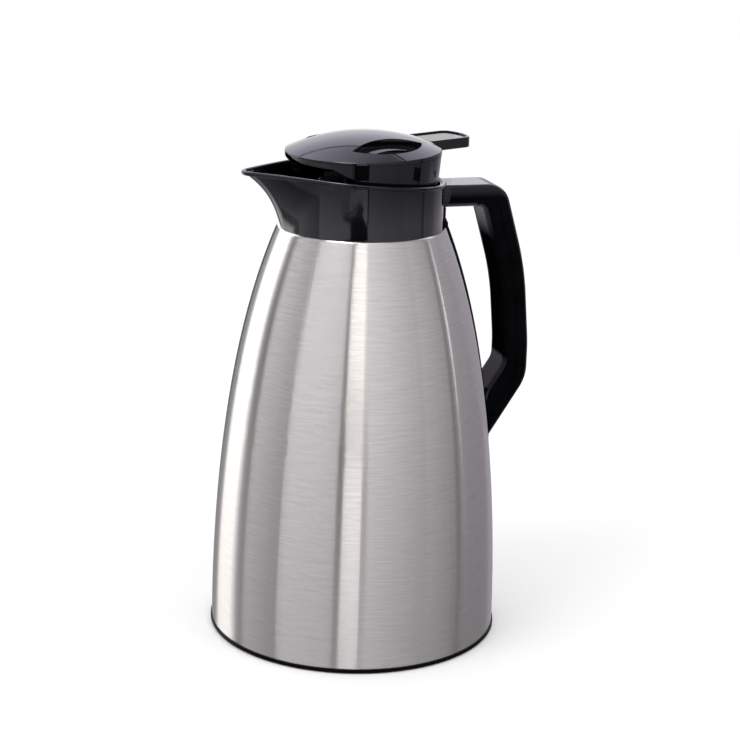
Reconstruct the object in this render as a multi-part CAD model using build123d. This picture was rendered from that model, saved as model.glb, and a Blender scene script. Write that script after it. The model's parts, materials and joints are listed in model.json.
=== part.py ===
from build123d import *
import math
import os

# Thermal carafe with a lever-opened flip lid.
# Millimetres. Origin: centre of the base on the standing surface. +Z up, handle at +X, spout at -X.

os.makedirs("parts", exist_ok=True)

# ---- base
base_r = 75.0              # outer radius of the black base cover
base_reveal = 2.0          # height of cover seen under the steel
cover_floor = 1.0          # plate left between the pad and the steel
cover_edge_round = 0.7
pad_margin = 13.0          # anti-slip pad inside the cover's radius
pad_stand = 0.4            # how far the pad stands below the cover
pad_groove_width = 2.0
pad_groove_depth = 0.5

# ---- steel casing and flask
foot_step = 0.6            # the steel stands back from the cover by this
casing_height = 210.6      # foot of the steel to the shoulder
casing_top_r = 42.6        # radius of the steel at the shoulder
casing_wall = 0.6
edge_roll = 1.0            # rolled edge of the shoulder
vacuum_gap = 5.2
flask_wall = 0.6
flask_lift = 5.5           # flask floor above the closing disc
flask_corner = 14.0
neck_inset = 9.1           # flask's mouth inside the shoulder's radius
neck_height = 13.0         # shoulder to flask rim
neck_gap = 0.5
disc_wall = 0.6
disc_step = 4.0            # height of the closing disc's dish
disc_flange = 4.5          # width of the slope at the dish's edge
dimple_r = 8.0             # evacuation dimple
dimple_depth = 1.6
getter_r = 7.0
getter_thick = 1.5
getter_place = 37.0        # from the axis

# ---- pouring collar
collar_step = 1.4          # collar inside the shoulder's radius
collar_wall = 2.0
collar_floor = 2.0
rim_rear = 21.6            # heights of the rim above the shoulder
rim_middle = 26.2
rim_tip = 28.4
rim_bead_r = 1.1
spout_reach = 20.0         # spout tip beyond the collar's radius
nose_low_r = 16.0          # nose radius of the spout at the shoulder
nose_high_r = 7.0          # and at the tip
seal_height = 2.4
sleeve_wall = 1.8
ring_flange = 1.6          # neck ring's flange thickness
ring_flange_width = 4.0
ring_wall = 1.7
ring_depth = 15.0
ring_lead = 0.4            # bevel that leads the stopper in from below

# ---- handle
handle_width = 24.2
strap_width = 20.0
strap_thick = 1.4
arm_drop = 1.0             # top of the arm below the collar's rear rim
arm_depth = 11.4
bow_depth = 14.0
leg_depth = 13.1
low_arm_depth = 15.3
shell_depth = 6.4          # part of that depth taken by the outer shell
shell_wall = 2.2
insert_step = 0.5          # insert narrower than the shell on each side
arm_reach = 31.8           # handle's first corner beyond the collar
leg_stand = 20.1           # upright leg beyond the steel at the handle's foot
bow_stand = 3.6            # bow's corner inside the upright leg
bow_fall = 44.0            # heights of the runs, from the arm down
slant_fall = 40.0
leg_fall = 19.3
low_arm_fall = 31.5
foot_inset = 0.2           # the lower arm's outer line meets the steel this far inside it
knuckle_round = 12.0
bow_round = 150.0
leg_round = 110.0
heel_round = 22.0
outer_edge_round = 3.0
inner_edge_round = 3.9
least_round = 4.0          # smallest corner of the handle's inner lines
tongue_overlap = 1.0       # insert's tongue sunk into its own slab
lug_length = 16.0
lug_width = 12.0
lug_end_play = 1.0
screw_shank_r = 1.9
screw_length = 5.5
screw_head_r = 3.4
screw_head_h = 1.6
boss_r = 3.8
plate_thick = 1.0          # spot-welded handle bracket
plate_width = 13.0
plate_height = 17.0
bracket_rise = 19.0        # bracket's centre above the handle's foot
plug_length = 4.4          # from the screw's head to the lower arm's outer line
plug_sink = 0.2            # plug's face behind the shell's

# ---- lid insert and stopper
lid_turn = 17.0            # the lid stands turned by this, seen from above, against the handle
skirt_gap = 1.8            # skirt's foot clear of the collar
skirt_flare = 1.9          # its top is wider than its foot by this
skirt_height = 20.2
skirt_wall = 2.0
deck_thick = 2.0
seat_inset = 8.6           # valve seat's bore inside the barrel's
seat_width = 2.5
seat_rise = 2.2
arch_inset = 8.3           # low half width of the pouring arch inside the skirt's top radius
arch_shoulder = 11.8       # the arch is narrower at the seam by this on each side
arch_drop = 7.0            # height of its sloping shoulder
barrel_gap = 2.0           # barrel clear of the neck ring, for the lip seal
barrel_wall = 2.4
barrel_depth = 20.0
barrel_lead = 1.0          # bevel at the barrel's foot
groove_height = 3.6
groove_depth = 1.4
groove_rise = 8.0          # groove above the barrel's foot
ear_thick = 3.0
ear_drop = 6.0             # ears' webs reach this far below the hinge axis

# ---- hinge
pivot_inset = 0.7          # hinge axis inside the skirt's top radius
pivot_drop = 0.8           # hinge axis below the skirt's top
hinge_r = 2.5
pin_r = 1.25
pin_play = 0.05
barrel_half = 5.8          # half length of the lever's hinge barrel
side_play = 0.2
turning_room = 0.6         # room round the hinge barrel
spring_turns = 4
spring_wire_r = 0.35
spring_pitch = 0.77
spring_play = 0.2          # coil clear of the pin

# ---- flip cover, lever and valve
seam_gap = 0.2
dome_over = 0.1            # dome beyond the skirt
dome_crown = 10.2          # crown above the seam
dome_band = 0.6            # straight band under the ball cap, at its lowest
dome_edge_round = 0.5
crown_shift = 2.3          # crown towards the lever
dome_wall = 2.0
recess_ball_near = 24.0    # outline arcs of the grip recesses
recess_ball_far = 50.0
recess_margin = 6.6        # outer side from the dome's edge
recess_width = 16.4
recess_drop = 7.0          # floor of the recess below the crown
recess_wall = 1.6
recess_ledge = 3.0         # ledge below the dome's skin
recess_ledge_width = 6.8
lever_width = 23.7
lever_stand = 22.3         # lever's tip beyond the hinge axis
lever_tip_r = 24.0         # arc across the lever's end
lever_thick = 5.2
lever_rise = 5.2           # top of the lever's tip above the seam
lever_slope = 1.4          # degrees, falling towards the axis
lever_root = 5.6           # lever starts this far in front of the hinge axis
lever_corner = 5.4
lever_edge_round = 0.5
lever_pad_depth = 0.7
lever_pad_margin = 1.4
root_thick = 1.8
root_length = 23.5
root_inset = 1.0           # root narrower than the lever on each side
flap_play = 0.8            # flap plate clear of the skirt
flap_thick = 1.8
flap_gap = 0.6             # flap plate's top below the skirt's top
flap_back = 6.5            # flap plate ends this far in front of the hinge axis
flap_rib = 1.2             # width and height of its stiffening rings
flap_rib_inset = 2.0
gasket_thick = 1.6
gasket_over = 1.2          # gasket wider than its seat
seat_play = 0.1
valve_thick = 1.8
valve_over = 0.6           # disc wider than the seat
stem_r = 9.0
stem_wall = 2.0
fin_count = 6
fin_thick = 1.2
fin_height = 2.6
fin_inset = 1.5            # fins end inside the seat's edge
lid_screw_r = 1.3
lid_screw_head_r = 2.6
lid_screw_head_h = 1.6
lid_screw_length = 6.2
valve_screw_length = 3.1
lid_boss_r = 3.2
boss_end_play = 1.0        # blind holes are deeper than their screws by this
front_screw_inset = 12.3   # from the skirt's top radius
rear_screw_inset = 15.5    # from the end of the lever's root
rear_screw_half = 7.0      # half the distance between the two rear screws

face_play = 0.1            # seated faces of pieces in one body
soft_play = 0.3            # soft pieces and seats that move apart
near = 1e-3                # two lines this close are the same line

# ---- heights and radii that follow
pad_r = base_r - pad_margin
collar_r = casing_top_r - collar_step
neck_bore_r = casing_top_r - neck_inset
cover_z = pad_stand
foot_z = cover_z + base_reveal
pad_thick = foot_z - cover_floor
shoulder_z = foot_z + casing_height
casing_foot_r = base_r - foot_step
rim_z = shoulder_z + neck_height
floor_top_z = rim_z + collar_floor
ring_top_z = floor_top_z + ring_flange
deck_z = ring_top_z + seam_gap
deck_top_z = deck_z + deck_thick
skirt_top_z = deck_z + skirt_height
seam_z = skirt_top_z + seam_gap
crown_z = seam_z + dome_crown
ring_r = neck_bore_r - soft_play
ring_bore_r = ring_r - ring_wall
barrel_r = ring_bore_r - barrel_gap
seat_bore_r = barrel_r - barrel_wall - seat_inset
skirt_foot_r = collar_r - collar_wall - skirt_gap
skirt_top_r = skirt_foot_r + skirt_flare
arch_low = skirt_top_r - arch_inset
arch_top = arch_low - arch_shoulder
dome_r = skirt_top_r + dome_over
cap_rise = dome_crown - dome_band
dome_ball_r = ((dome_r + crown_shift) ** 2 + cap_rise**2) / (2 * cap_rise)
recess_outer = dome_r - recess_margin
recess_inner = recess_outer - recess_width
ledge_place = recess_inner + recess_ledge_width
collar_rear_z = shoulder_z + rim_rear
arm_top_z = collar_rear_z - arm_drop
arm_low_z = arm_top_z - arm_depth
bow_z = arm_top_z - bow_fall
slant_z = bow_z - slant_fall
heel_z = slant_z - leg_fall
handle_foot_z = heel_z - low_arm_fall
bracket_z = handle_foot_z + bracket_rise
pivot_x = skirt_top_r - pivot_inset
lever_start = pivot_x - lever_root
lever_reach = pivot_x + lever_stand
pivot_z = skirt_top_z - pivot_drop
flap_top_z = skirt_top_z - flap_gap
flap_z = flap_top_z - flap_thick
seat_z = deck_top_z + seat_rise
gasket_z = seat_z + seat_play
valve_z = gasket_z + gasket_thick
valve_top_z = valve_z + valve_thick
notch_half = barrel_half + side_play
lever_tip_z = seam_z + lever_rise
lever_fall = math.tan(math.radians(lever_slope))
root_z = flap_top_z + face_play
root_end = pivot_x - hinge_r - turning_room
root_start = root_end - root_length
front_screw_x = front_screw_inset - skirt_top_r
rear_screw_x = root_end - rear_screw_inset


def casing_radius(z):
    """Outer radius of the steel at a height."""
    share = min(max((z - foot_z) / casing_height, 0.0), 1.0)
    return casing_foot_r - (casing_foot_r - casing_top_r) * (0.76 * share**2 + 0.24 * share**5)


def casing_line(inset, low, high, spans=12):
    """The steel's outline between two heights, moved inwards by inset."""
    heights = [low + (high - low) * step / spans for step in range(spans + 1)]
    return Spline(*[(casing_radius(z) - inset, z) for z in heights])


leg_x = casing_radius(handle_foot_z) + leg_stand


def turned(*lines):
    """Solid of revolution about Z from lines given as (radius, height)."""
    outline = Curve() + list(lines)
    return revolve(Plane.XZ * make_face(outline), Axis.Z)


def ring(inner, outer, low, high):
    """Plain ring or disc between two radii and two heights."""
    body = Pos(0, 0, low) * Cylinder(outer, high - low, align=(Align.CENTER, Align.CENTER, Align.MIN))
    if inner > 0:
        body -= Pos(0, 0, low) * Cylinder(inner, high - low, align=(Align.CENTER, Align.CENTER, Align.MIN))
    return body


def block(x0, x1, half_y, z0, z1):
    """Box between two x, two z, and plus or minus half_y."""
    return Pos((x0 + x1) / 2, 0, (z0 + z1) / 2) * Box(x1 - x0, 2 * half_y, z1 - z0)


def side_plate(face, half_width):
    """A face drawn as (x, z), given a thickness both ways along Y."""
    return extrude(Plane.XZ * face, half_width, both=True)


def rod_y(x, z, radius, half_length):
    """Cylinder along Y."""
    return Pos(x, 0, z) * Rot(90, 0, 0) * Cylinder(radius, 2 * half_length)


def rod_x(x0, x1, z, radius):
    """Cylinder along X at y = 0."""
    return Pos((x0 + x1) / 2, 0, z) * Rot(0, 90, 0) * Cylinder(radius, x1 - x0)


# ---------------------------------------------------------------- steel

def outer_casing():
    roll_z = shoulder_z - edge_roll
    roll_r = casing_radius(roll_z)
    neck_r = neck_bore_r + flask_wall + neck_gap
    inside_z = shoulder_z - casing_wall
    outer = casing_line(0, foot_z, roll_z)
    roll = Spline((roll_r, roll_z), (roll_r - edge_roll, shoulder_z), tangents=[outer % 1, (-1, 0)])
    neck = Polyline(
        (roll_r - edge_roll, shoulder_z),
        (neck_r + casing_wall, shoulder_z),
        (neck_r + casing_wall, rim_z - flask_wall),
        (neck_r, rim_z - flask_wall),
        (neck_r, inside_z),
        (casing_radius(inside_z) - 2 * casing_wall, inside_z),
    )
    inner = casing_line(casing_wall, foot_z, inside_z - casing_wall)
    close_top = Line(neck @ 1, inner @ 1)
    close_foot = Line(inner @ 0, outer @ 0)
    return turned(outer, roll, neck, close_top, inner, close_foot)


def flask_line(inset, low, high):
    return casing_line(casing_wall + vacuum_gap + inset, low, high)


def inner_vessel():
    floor_z = foot_z + disc_step + disc_wall + flask_lift
    wall_low = floor_z + flask_corner
    wall_high = shoulder_z - 3 * vacuum_gap / 2
    throat_z = shoulder_z - vacuum_gap / 2
    neck_r = neck_bore_r + flask_wall
    flange_r = neck_r + neck_gap + casing_wall

    def shell_line(inset):
        wall = flask_line(inset, wall_low, wall_high)
        start = wall @ 0
        floor_end = (start.X - flask_corner + inset, floor_z + inset)
        corner = Spline(floor_end, (start.X, start.Y), tangents=[(1, 0), wall % 0])
        top = wall @ 1
        throat = Spline((top.X, top.Y), (neck_r - inset, throat_z), tangents=[wall % 1, (0, 1)])
        return wall, floor_end, corner, throat

    wall, floor_end, corner, throat = shell_line(0)
    wall_in, floor_in, corner_in, throat_in = shell_line(flask_wall)
    rim = Polyline(
        (neck_r, throat_z),
        (neck_r, rim_z - flask_wall),
        (flange_r, rim_z - flask_wall),
        (flange_r, rim_z),
        (neck_bore_r, rim_z),
        (neck_bore_r, throat_z),
    )
    floor = Polyline(floor_in, (0, floor_z + flask_wall), (0, floor_z), floor_end)
    return turned(corner, wall, throat, rim, throat_in, wall_in, corner_in, floor)


def casing_bottom():
    edge_r = casing_foot_r - casing_wall - face_play
    dish_r = edge_r - disc_flange
    low = foot_z
    high = foot_z + disc_step
    dimple_low = high - dimple_depth
    upper = Polyline(
        (edge_r, low), (edge_r, low + disc_wall), (dish_r, high + disc_wall),
        (dimple_r + disc_wall, high + disc_wall), (dimple_r, dimple_low + disc_wall), (0, dimple_low + disc_wall),
    )
    lower = Polyline(
        (0, dimple_low + disc_wall), (0, dimple_low), (dimple_r - disc_wall, dimple_low),
        (dimple_r, high), (dish_r - disc_wall, high), (edge_r - 2 * disc_wall, low), (edge_r, low),
    )
    return turned(upper, lower)


def getter():
    seat = foot_z + disc_step + disc_wall
    pill = ring(0, getter_r, seat, seat + getter_thick)
    return Pos(getter_place, 0, 0) * chamfer(pill.edges().group_by(Axis.Z)[-1], getter_thick / 4)


# ---------------------------------------------------------------- base

def base_cover():
    body = ring(0, base_r, cover_z, foot_z)
    body = fillet(body.edges().group_by(Axis.Z)[0], cover_edge_round)
    return body - ring(0, pad_r + soft_play, 0, pad_thick)


def base_pad():
    body = ring(0, pad_r, 0, pad_thick)
    for share in (0.6, 0.8):
        middle = pad_r * share
        body -= ring(middle - pad_groove_width / 2, middle + pad_groove_width / 2, 0, pad_groove_depth)
    return body


# ---------------------------------------------------------------- collar

def spout_extent(share):
    """How far the spout stands beyond the collar: a sweep that steepens upwards."""
    return spout_reach * (0.03 + 0.44 * share + 0.53 * share**3)


def spout_section(z, inset):
    """Round collar joined by straight flanks to the spout's rounded nose."""
    share = (z - shoulder_z) / rim_tip
    nose_r = nose_low_r + (nose_high_r - nose_low_r) * share
    centre = collar_r + spout_extent(share) - nose_r
    turn = math.acos((collar_r - nose_r) / centre)
    big = collar_r - inset
    small = nose_r - inset
    round_side = ThreePointArc(
        (-big * math.cos(turn), big * math.sin(turn)), (big, 0), (-big * math.cos(turn), -big * math.sin(turn))
    )
    nose_edge = (-centre - small * math.cos(turn), small * math.sin(turn))
    nose = ThreePointArc((nose_edge[0], -nose_edge[1]), (-centre - small, 0), nose_edge)
    flanks = [Line(round_side @ 1, nose @ 0), Line(nose @ 1, round_side @ 0)]
    return Plane.XY.offset(z) * make_face(Curve() + [round_side, flanks[0], nose, flanks[1]])


def spout_form(inset, low, high, sections=6):
    heights = [low + (high - low) * step / (sections - 1) for step in range(sections)]
    return loft([spout_section(z, inset) for z in heights])


def rim_curve_z(x):
    """Height of the rim's centre line: one parabola through rear, middle and tip."""
    tip_x = -(collar_r + spout_reach)
    rear = rim_rear - rim_middle
    tip = rim_tip - rim_middle
    curve = (tip / tip_x - rear / collar_r) / (tip_x - collar_r)
    slope = rear / collar_r - curve * collar_r
    return shoulder_z + rim_middle + slope * x + curve * x * x


def above_rim():
    """Everything above the rim's curve, as a block with a curved underside."""
    front_x = -(collar_r + 2 * spout_reach)
    back_x = 2 * collar_r
    mid_x = (front_x + back_x) / 2
    step = 1e-3
    slope = (rim_curve_z(front_x + step) - rim_curve_z(front_x)) / step
    control_z = rim_curve_z(front_x) + slope * (mid_x - front_x)
    edge = Bezier((front_x, rim_curve_z(front_x)), (mid_x, control_z), (back_x, rim_curve_z(back_x)))
    top = shoulder_z + 3 * rim_tip
    frame = Polyline((back_x, rim_curve_z(back_x)), (back_x, top), (front_x, top), (front_x, rim_curve_z(front_x)))
    return side_plate(make_face(Curve() + [edge, frame]), 2 * collar_r)


def collar_lug():
    """Tongue at the back of the collar that the handle's arm slides over."""
    play = face_play + soft_play
    low = arm_low_z + arm_depth - shell_depth + face_play
    high = arm_top_z - shell_wall - play
    lug = block(collar_r - collar_wall / 2, collar_r + lug_length, lug_width / 2, low, high)
    hole_x = collar_r + lug_length / 2
    hole = Pos(hole_x, 0, low) * Cylinder(screw_shank_r + face_play, 3 * (high - low))
    return lug - hole


def rim_bead(outer):
    """Round bead along the outer edge of the rim, one half swept and mirrored."""
    cut = outer - above_rim()
    faces = cut.faces().filter_by(GeomType.EXTRUSION)
    half = faces.sort_by(Axis.Y)[-1]
    path = Wire([edge for edge in half.edges() if (edge @ 0.5).Y > rim_bead_r / 10])
    bead = sweep(Plane(path @ 0, z_dir=path % 0) * Circle(rim_bead_r), path=path)
    return [bead, mirror(bead, Plane.XZ)]


def pouring_collar():
    top = shoulder_z + 1.2 * rim_tip
    outer = spout_form(0, shoulder_z, top)
    inner = spout_form(collar_wall, shoulder_z, top)
    sleeve_r = neck_bore_r + 2 * flask_wall + neck_gap + soft_play
    body = outer - inner - above_rim()
    for bead in rim_bead(outer):
        body += bead
    body += inner & ring(neck_bore_r, 2 * collar_r, rim_z, floor_top_z)
    body += ring(sleeve_r, sleeve_r + sleeve_wall, shoulder_z + seal_height, rim_z + collar_floor / 2)
    return body + collar_lug()


def collar_seal():
    sleeve_r = neck_bore_r + 2 * flask_wall + neck_gap + soft_play
    body = ring(sleeve_r, sleeve_r + sleeve_wall + soft_play, shoulder_z, shoulder_z + seal_height)
    return fillet(body.edges().group_by(Axis.Z)[0], seal_height / 6)


def neck_ring():
    body = ring(ring_bore_r, ring_r, rim_z - ring_depth, ring_top_z)
    body += ring(ring_bore_r, ring_r + ring_flange_width, floor_top_z, ring_top_z)
    return chamfer(body.edges().group_by(Axis.Z)[0], ring_lead)


# ---------------------------------------------------------------- handle

def handle_corners():
    """Outer line of the handle in the XZ plane, from the collar down to the steel."""
    return [
        (collar_r - collar_wall, arm_top_z),
        (collar_r + arm_reach, arm_top_z),
        (leg_x - bow_stand, bow_z),
        (leg_x, slant_z),
        (leg_x, heel_z),
        (casing_radius(handle_foot_z) - foot_inset, handle_foot_z),
    ]


def stretched(corners, reach):
    """The same line with its last run carried further, into the casing."""
    (x0, z0), (x1, z1) = corners[-2:]
    run = math.hypot(x1 - x0, z1 - z0)
    share = (run + reach) / run
    return corners[:-1] + [(x0 + (x1 - x0) * share, z0 + (z1 - z0) * share)]


def inset_line(corners, insets):
    """Each run of the line moved inwards by its own inset, and the corners found again."""
    runs = []
    for (x0, z0), (x1, z1), inset in zip(corners, corners[1:], insets):
        length = math.hypot(x1 - x0, z1 - z0)
        ux, uz = (x1 - x0) / length, (z1 - z0) / length
        runs.append((x0 + uz * inset, z0 - ux * inset, ux, uz))
    points = [runs[0][:2]]
    for (ax, az, aux, auz), (bx, bz, bux, buz) in zip(runs, runs[1:]):
        cross = aux * buz - auz * bux
        along = ((bx - ax) * buz - (bz - az) * bux) / cross
        points.append((ax + aux * along, az + auz * along))
    last = runs[-1]
    length = math.hypot(corners[-1][0] - corners[-2][0], corners[-1][1] - corners[-2][1])
    points.append((last[0] + last[2] * length, last[1] + last[3] * length))
    return points


def handle_line(insets):
    """The handle's outer line moved inwards, with its corners rounded."""
    corners = inset_line(stretched(handle_corners(), low_arm_depth), insets)
    rounds = (knuckle_round, bow_round, leg_round, heel_round)
    return FilletPolyline(*corners, radius=[max(r - i, least_round) for r, i in zip(rounds, insets)])


def handle_band(outer_insets, inner_insets, half_width):
    """Solid between two lines parallel to the handle's outer line."""
    outer = handle_line(outer_insets)
    inner = handle_line(inner_insets)
    ends = [Line(outer @ 0, inner @ 0), Line(outer @ 1, inner @ 1)]
    return side_plate(make_face(Curve() + [outer, inner, *ends]), half_width)


def even(inset):
    """The same inset for every run of the handle."""
    return (inset,) * 5


def handle_insets():
    """Inset of the handle's inner line on its arm, its three runs of leg and its lower arm."""
    return (arm_depth, bow_depth, leg_depth, leg_depth, low_arm_depth)


def edges_on(body, line, half_width):
    """Edges of a band's two side faces that lie on one of its lines."""
    sides = body.edges().filter_by(lambda e: abs(abs(e.center().Y) - half_width) < near)
    return [e for e in sides if line.distance_to(Vertex((e @ 0.5).X, (e @ 0.5).Z, 0)) < near]


def jug_envelope(play):
    """The space the collar, the strap and the steel take, for trimming the handle to them."""
    strap_out = strap_thick + play
    step_z = shoulder_z + strap_thick
    bead_out = rim_bead_r + play
    low = foot_z
    lower = casing_line(-strap_out, low, shoulder_z)
    upper = Polyline(
        (casing_top_r + strap_out, shoulder_z),
        (casing_top_r + strap_out, step_z),
        (collar_r + play, step_z + 2 * strap_thick),
        (collar_r + play, collar_rear_z - bead_out),
        (collar_r + bead_out, collar_rear_z - bead_out),
        (collar_r + bead_out, crown_z),
        (0, crown_z),
        (0, low),
        (casing_foot_r + strap_out, low),
    )
    return turned(lower, upper)


def low_arm_x(z):
    """Where the lower arm's outer line passes a height."""
    foot_x = casing_radius(handle_foot_z) - foot_inset
    return foot_x + (leg_x - foot_x) * (z - handle_foot_z) / low_arm_fall


def screw_seat_x():
    """Seat of the lower screw's head, behind its plug."""
    return low_arm_x(bracket_z) - plug_length - screw_head_h - face_play


def boss_end_x():
    return screw_seat_x() - shell_wall - face_play


def screw_paths(gap):
    """Room for the lower boss, its screw and the plug over it, and for the upper screw."""
    z = bracket_z
    seat_x = screw_seat_x()
    room = rod_x(0, boss_end_x() + gap, z, boss_r + gap)
    room += rod_x(0, seat_x + leg_depth, z, screw_shank_r + gap)
    room += rod_x(seat_x, seat_x + leg_depth, z, screw_head_r + soft_play)
    x = collar_r + lug_length / 2
    head_z = arm_low_z + screw_head_h + soft_play
    room += Pos(x, 0, 0) * ring(0, screw_head_r + soft_play, arm_low_z - near, head_z)
    room += Pos(x, 0, 0) * ring(0, screw_shank_r + gap, arm_low_z - near, arm_top_z - shell_wall)
    return room


def handle_shell():
    half = handle_width / 2
    body = handle_band(even(0), even(shell_depth), half)
    body = fillet(edges_on(body, handle_line(even(0)), half), outer_edge_round)
    channel = handle_band(even(shell_wall), even(shell_depth + tongue_overlap), half - shell_wall)
    channel -= block(0, 2 * leg_x, handle_width, 0, bracket_z + boss_r + shell_wall)
    return body - channel - jug_envelope(face_play) - screw_paths(face_play)


def handle_insert():
    """Inner moulding, with a tongue that fills the shell's channel below the collar's lug."""
    half = handle_width / 2 - insert_step
    body = handle_band(even(shell_depth + face_play), handle_insets(), half)
    body = fillet(edges_on(body, handle_line(handle_insets()), half), inner_edge_round)
    tongue_half = handle_width / 2 - shell_wall - face_play - soft_play
    tongue = handle_band(even(shell_wall + 2 * face_play), even(shell_depth + tongue_overlap), tongue_half)
    tongue -= block(0, collar_r + lug_length + lug_end_play, handle_width, arm_low_z, crown_z)
    tongue -= block(0, 2 * leg_x, handle_width, 0, bracket_z + boss_r + shell_wall + soft_play)
    return body + tongue - jug_envelope(face_play) - screw_paths(face_play)


def handle_strap():
    """Thin band down the back of the jug, from under the arm to the handle's foot."""
    low = handle_foot_z
    gap = face_play
    step_z = shoulder_z + strap_thick
    inner = casing_line(-gap, low, shoulder_z)
    outer = casing_line(-strap_thick, low, shoulder_z)
    top_z = arm_low_z - gap
    lip_in = Polyline(
        (casing_top_r + gap, shoulder_z), (casing_top_r + gap, shoulder_z + gap),
        (collar_r + gap, shoulder_z + gap), (collar_r + gap, top_z),
        (collar_r + strap_thick, top_z), (collar_r + strap_thick, step_z + 2 * strap_thick),
        (casing_top_r + strap_thick, step_z), (casing_top_r + strap_thick, shoulder_z),
    )
    foot = Line(inner @ 0, outer @ 0)
    band = turned(inner, lip_in, outer, foot)
    band &= block(0, 2 * base_r, strap_width / 2, 0, crown_z)
    window_half = plate_width / 2 + soft_play
    z = bracket_z
    half_h = plate_height / 2 + soft_play
    return band - block(0, 2 * base_r, window_half, z - half_h, z + half_h)


def handle_bracket():
    """Plate spot-welded to the steel, with a threaded boss for the handle's lower screw."""
    z = bracket_z
    low, high = z - plate_height / 2, z + plate_height / 2
    inner = casing_line(-face_play, low, high)
    outer = casing_line(-plate_thick, low, high)
    plate = turned(inner, outer, Line(inner @ 0, outer @ 0), Line(inner @ 1, outer @ 1))
    plate &= block(0, 2 * base_r, plate_width / 2, low, high)
    boss = rod_x(casing_radius(z) + plate_thick / 2, boss_end_x(), z, boss_r)
    thread = rod_x(boss_end_x() - screw_length, boss_end_x(), z, screw_shank_r + face_play)
    return plate + boss - thread


def handle_screw():
    """Pan-head screw, head up, with the head's seat at the origin."""
    head = Cylinder(screw_head_r, screw_head_h, align=(Align.CENTER, Align.CENTER, Align.MIN))
    head = fillet(head.edges().group_by(Axis.Z)[-1], screw_head_h / 3)
    shank = Cylinder(screw_shank_r, screw_length, align=(Align.CENTER, Align.CENTER, Align.MAX))
    slot = Pos(0, 0, screw_head_h) * Box(screw_head_h / 2, 1.3 * screw_head_r, screw_head_h)
    cross = Rot(0, 0, 90) * slot
    return head + shank - slot - cross


def handle_screws():
    upper = Pos(collar_r + lug_length / 2, 0, arm_low_z + screw_head_h + soft_play) * Rot(180, 0, 0) * handle_screw()
    lower = Pos(screw_seat_x(), 0, bracket_z) * Rot(0, 90, 0) * handle_screw()
    return [upper, lower]


def screw_plug():
    """Plug over the lower screw, flush with the shell."""
    start = screw_seat_x() + screw_head_h + face_play
    plug = rod_x(start, start + leg_depth, bracket_z, screw_head_r + face_play)
    return plug & handle_band(even(plug_sink), even(low_arm_depth), handle_width / 2)


# ---------------------------------------------------------------- lid insert and stopper

def skirt_radius(z):
    return skirt_foot_r + (skirt_top_r - skirt_foot_r) * (z - deck_z) / skirt_height


def arch_cutter():
    """S-curved opening in the skirt, in front of the spout."""
    knee_z = skirt_top_z - arch_drop
    knee_y = arch_low - (arch_low - arch_top) / 8
    middle = ((arch_top + knee_y) / 2, skirt_top_z - 0.55 * arch_drop)
    foot = (arch_low, knee_z - arch_drop / 2)
    shoulder = Spline((arch_top, skirt_top_z), middle, (knee_y, knee_z), tangents=[(0.5, -1), (1, -0.45)])
    drop = Spline((knee_y, knee_z), foot, tangents=[(1, -0.45), (0, -1)])
    rest = Polyline(foot, (arch_low, deck_top_z), (0, deck_top_z), (0, seam_z), (arch_top, seam_z), shoulder @ 0)
    cutter = extrude(Plane.YZ * make_face(Curve() + [shoulder, drop, rest]), -2 * skirt_top_r)
    return cutter + mirror(cutter, Plane.XZ)


def hinge_ears():
    """Two ears for the pin, each on a web that tapers down into the skirt."""
    low = pivot_z - ear_drop
    web = side_plate(make_face(Polyline(
        (pivot_x + hinge_r, pivot_z), (skirt_radius(low), low), (skirt_radius(low) - skirt_wall, low),
        (pivot_x - hinge_r, pivot_z), (pivot_x + hinge_r, pivot_z),
    )), ear_thick / 2)
    ear = web + rod_y(pivot_x, pivot_z, hinge_r, ear_thick / 2)
    return [Pos(0, side * (notch_half + ear_thick / 2), 0) * ear for side in (-1, 1)]


def lid_insert():
    """Deck with the valve's seat, and the skirt with its arch, hinge ears and lever notch."""
    foot_in = skirt_foot_r - skirt_wall
    top_in = skirt_top_r - skirt_wall
    seat_r = seat_bore_r + seat_width
    body = turned(Polyline(
        (seat_bore_r, deck_z), (skirt_foot_r, deck_z), (skirt_top_r, skirt_top_z), (top_in, skirt_top_z),
        (foot_in, deck_top_z), (seat_r, deck_top_z), (seat_r, seat_z), (seat_bore_r, seat_z), (seat_bore_r, deck_z),
    ))
    body -= arch_cutter()
    body -= block(0, 2 * skirt_top_r, lever_width / 2 + side_play, pivot_z - turning_room, crown_z)
    for ear in hinge_ears():
        body += ear
    body -= block(top_in - hinge_r, 2 * skirt_top_r, notch_half, pivot_z - hinge_r - turning_room, crown_z)
    return body - rod_y(pivot_x, pivot_z, pin_r, notch_half + ear_thick)


def stopper_barrel():
    low = deck_z - barrel_depth
    inner = barrel_r - barrel_wall
    groove_low = low + groove_rise
    groove_high = groove_low + groove_height
    groove_r = barrel_r - groove_depth
    return turned(Polyline(
        (inner, low), (barrel_r - barrel_lead, low), (barrel_r, low + barrel_lead), (barrel_r, groove_low),
        (groove_r, groove_low), (groove_r, groove_high), (barrel_r, groove_high), (barrel_r, deck_z),
        (inner, deck_z), (inner, low),
    ))


def lip_seal():
    """Silicone ring in the stopper's groove, with two thin lips towards the neck ring."""
    low = deck_z - barrel_depth + groove_rise + soft_play
    high = low + groove_height - 2 * soft_play
    inner = barrel_r - groove_depth + soft_play
    tip = ring_bore_r - soft_play
    lip = (high - low) / 10
    slope = 3 * lip
    return turned(Polyline(
        (inner, low), (tip, low), (tip, low + lip), (barrel_r, low + slope), (barrel_r, high - slope),
        (tip, high - lip), (tip, high), (inner, high), (inner, low),
    ))


# ---------------------------------------------------------------- flip cover

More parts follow.
